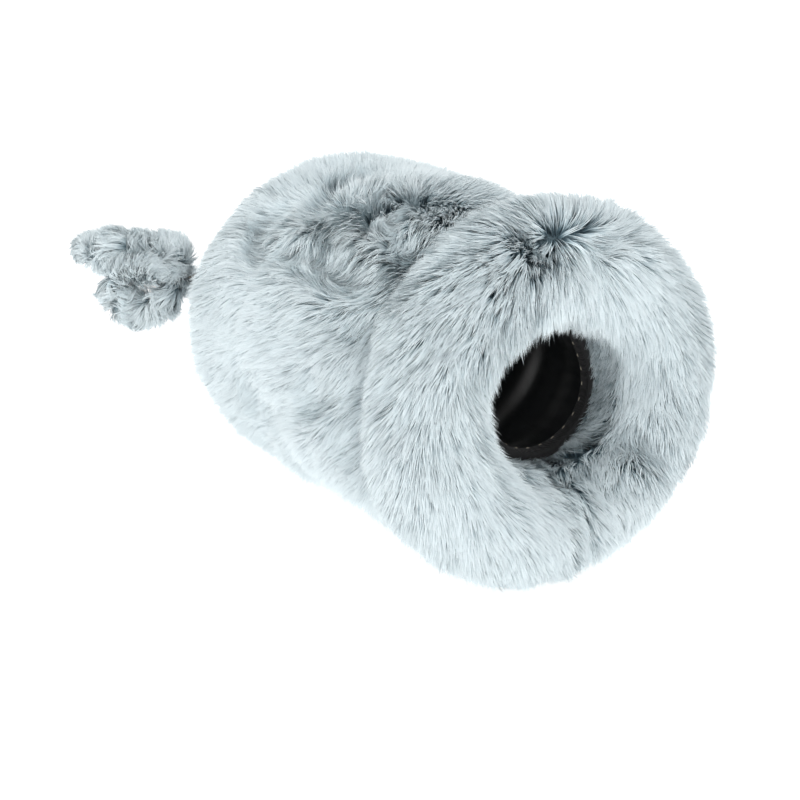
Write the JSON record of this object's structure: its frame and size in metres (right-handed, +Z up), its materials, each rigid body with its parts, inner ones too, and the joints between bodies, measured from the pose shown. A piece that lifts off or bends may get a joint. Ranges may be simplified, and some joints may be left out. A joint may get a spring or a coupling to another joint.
{
  "type": "hand warmer muff",
  "caption": "Soft faux-fur hand warmer muff: a padded tube with a fat rolled cuff, satin-lined hand channel and a small stuffed carry loop.",
  "frame": {"origin": "middle of the flat patch on which the cuff rests, under the middle of the cuff", "axes": "+Z up; +Y along the hand channel, from the cuff to the rear end; +X to the right seen from the front"},
  "size_m": [0.2409, 0.4318, 0.23],
  "materials": {
    "plush_fur": "long-pile two-tone faux fur, icy white tips over dark teal-grey roots",
    "wadding": "white polyester wadding",
    "satin": "black satin with soft folds",
    "binding": "black woven binding tape",
    "elastic": "braided elastic",
    "webbing": "dark woven webbing",
    "stitch_thread": "light polyester sewing thread",
    "seam_thread": "dark polyester sewing thread"
  },
  "bodies": {
    "muff": {"cuff_fur": "plush_fur", "cuff_stuffing": "wadding", "cuff_join_seam": "seam_thread", "cuff_body_seam": "seam_thread", "body_fur": "plush_fur", "body_wadding": "wadding", "body_seam": "seam_thread", "lining": "satin", "front_binding": "binding", "front_elastic": "elastic", "front_stitches": "stitch_thread", "rear_binding": "binding", "rear_elastic": "elastic", "rear_stitches": "stitch_thread", "loop_tab": "webbing", "loop_tab_stitches": "stitch_thread"},
    "carry_loop": {"loop_fur": "plush_fur", "loop_stuffing": "wadding"}
  },
  "joints": [
    {"name": "loop_flop", "type": "hinge", "parent": "muff", "child": "carry_loop", "pos_m": [-0.07587, 0.2927, 0.126], "axis": [0.829, 0.5592, 0], "range_deg": [-35, 40]}
  ]
}
